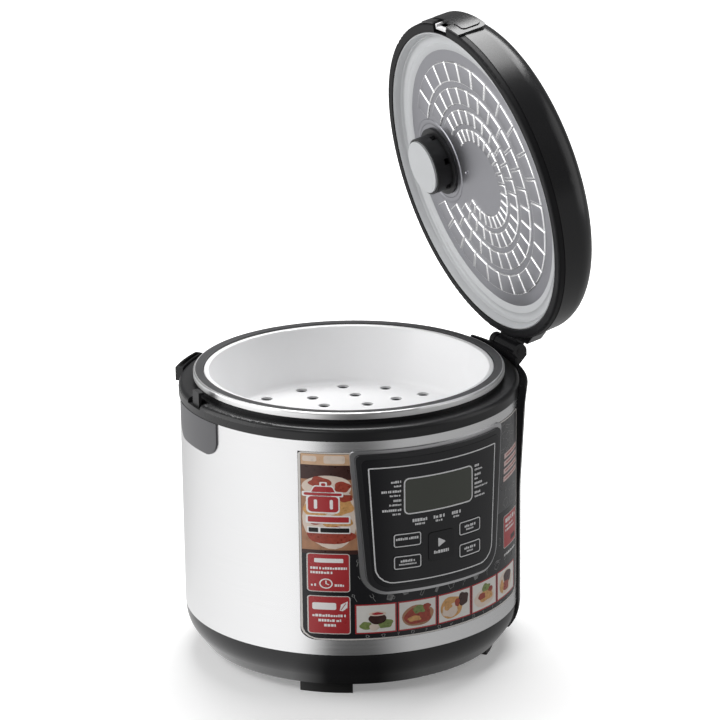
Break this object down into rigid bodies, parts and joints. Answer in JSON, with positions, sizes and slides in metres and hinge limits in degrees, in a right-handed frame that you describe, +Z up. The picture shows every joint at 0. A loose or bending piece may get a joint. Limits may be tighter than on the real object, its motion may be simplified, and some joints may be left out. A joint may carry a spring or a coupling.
{
  "type": "electric multicooker",
  "caption": "Round electric multicooker with a hinged lid standing open, steel-wrapped body, control panel with keys, lift-out bowl and white steamer basket.",
  "frame": {"origin": "on the bowl's centre line, at the level the feet stand on", "axes": "+Z up; +X towards the lid's hinge; -Y towards the control panel (which is turned 3.6 degrees towards the hinge); the hinge pin lies along Y"},
  "size_m": [0.324, 0.2884, 0.5308],
  "materials": {
    "black_gloss": "moulded, satin to semi gloss",
    "black_satin": "fine moulded texture",
    "grey_tongue": "satin",
    "foot_rubber": "matt",
    "wrap_steel": "fine vertical brushing",
    "inner_steel": "mill finish",
    "bowl_coating": "dark non-stick coating, machined rim edge",
    "basket_white": "smooth food-grade plastic",
    "cast_aluminium": "machined cast",
    "lid_aluminium": "pressed sheet, satin",
    "gasket_silicone": "matt silicone",
    "valve_grey": "satin",
    "trim_silver": "satin silver",
    "panel_charcoal": "satin moulding",
    "panel_film": "glossy printed film",
    "display_lens": "smoked",
    "key_plastic": "satin",
    "label_print": "printed film",
    "circuit_board": "solder mask",
    "component_black": "moulded",
    "fastener_steel": "zinc plated",
    "spring_steel": "bright wire",
    "brass": "bright"
  },
  "bodies": {
    "housing": {"base_shell": "black_gloss", "rubber_feet": "foot_rubber", "base_screws": "fastener_steel", "steel_wrap": "wrap_steel", "top_collar": "black_gloss", "lid_catch": "black_satin", "latch_ear": "grey_tongue", "ladle_holder": "black_gloss", "rear_column": "black_gloss", "inlet_socket": "black_satin", "inlet_pins": "brass", "heat_shield": "inner_steel", "shield_screws": "fastener_steel", "heating_plate": "cast_aluminium", "heating_element": "inner_steel", "plate_posts": "inner_steel", "thermal_fuse": "brass", "sensor_sleeve": "inner_steel", "sensor_spring": "spring_steel", "power_board": "circuit_board", "transformer": "component_black", "relay": "component_black", "board_screws": "fastener_steel", "panel_housing": "panel_charcoal", "panel_trim": "trim_silver", "panel_overlay": "panel_film", "display_window": "display_lens", "display_module": "component_black", "control_board": "circuit_board", "key_switches": "component_black", "wrap_label": "label_print", "hinge_pin": "fastener_steel", "hinge_bushes": "valve_grey", "hinge_spring": "spring_steel"},
    "lid": {"lid_cover": "black_gloss", "lid_frame": "black_gloss", "lid_liner": "black_satin", "lid_gasket": "gasket_silicone", "inner_lid_plate": "lid_aluminium", "plate_studs": "fastener_steel", "valve_socket": "black_satin", "valve_seal": "gasket_silicone", "steam_duct": "black_satin", "latch_spring": "spring_steel", "hinge_arm": "black_gloss"},
    "latch": {"latch_button": "black_gloss", "latch_bar": "black_satin"},
    "valve": {"valve_cup": "black_satin", "valve_face": "valve_grey"},
    "vent": {"vent_cap": "black_satin"},
    "bowl": {"inner_bowl": "bowl_coating"},
    "basket": {"steamer_basket": "basket_white"},
    "sensor": {"sensor_cap": "cast_aluminium"},
    "start_key": {"key_start": "key_plastic"},
    "upper_left_key": {"key_upper_left": "key_plastic"},
    "lower_left_key": {"key_lower_left": "key_plastic"},
    "upper_right_key": {"key_upper_right": "key_plastic"},
    "lower_right_key": {"key_lower_right": "key_plastic"}
  },
  "joints": [
    {"name": "lid_hinge", "type": "hinge", "parent": "housing", "child": "lid", "pos_m": [0.152, 0, 0.2393], "axis": [0, 1, 0], "range_deg": [-77.7, 0], "stiffness_Nm_per_rad": 0.5, "springref_deg": 74.48},
    {"name": "latch_press", "type": "slide", "parent": "lid", "child": "latch", "axis": [0.213, 0, -0.977], "range_m": [0, 0.002], "stiffness_N_per_m": 800, "springref_m": -0.0015, "deforming": ["latch_spring"]},
    {"name": "valve_twist", "type": "hinge", "parent": "lid", "child": "valve", "pos_m": [0.12548, 0.072, 0.38909], "axis": [0.977, 0, 0.213], "range_deg": [0, 25]},
    {"name": "vent_cap_lift", "type": "slide", "parent": "lid", "child": "vent", "axis": [0.977, 0, 0.213], "range_m": [0, 0.03]},
    {"name": "bowl_lift", "type": "slide", "parent": "housing", "child": "bowl", "axis": [0, 0, 1], "range_m": [0, 0.04]},
    {"name": "basket_lift", "type": "slide", "parent": "bowl", "child": "basket", "axis": [0, 0, 1], "range_m": [0, 0.06]},
    {"name": "sensor_press", "type": "slide", "parent": "housing", "child": "sensor", "axis": [0, 0, -1], "range_m": [0, 0.0025], "stiffness_N_per_m": 300, "springref_m": -0.004, "deforming": ["sensor_spring"]},
    {"name": "start_key_press", "type": "slide", "parent": "housing", "child": "start_key", "axis": [-0.0628, 0.998, 0], "range_m": [0, 0.0008], "stiffness_N_per_m": 1200, "springref_m": -0.0004},
    {"name": "upper_left_key_press", "type": "slide", "parent": "housing", "child": "upper_left_key", "axis": [-0.0628, 0.998, 0], "range_m": [0, 0.0008], "stiffness_N_per_m": 1200, "springref_m": -0.0004},
    {"name": "lower_left_key_press", "type": "slide", "parent": "housing", "child": "lower_left_key", "axis": [-0.0628, 0.998, 0], "range_m": [0, 0.0008], "stiffness_N_per_m": 1200, "springref_m": -0.0004},
    {"name": "upper_right_key_press", "type": "slide", "parent": "housing", "child": "upper_right_key", "axis": [-0.0628, 0.998, 0], "range_m": [0, 0.0008], "stiffness_N_per_m": 1200, "springref_m": -0.0004},
    {"name": "lower_right_key_press", "type": "slide", "parent": "housing", "child": "lower_right_key", "axis": [-0.0628, 0.998, 0], "range_m": [0, 0.0008], "stiffness_N_per_m": 1200, "springref_m": -0.0004}
  ]
}
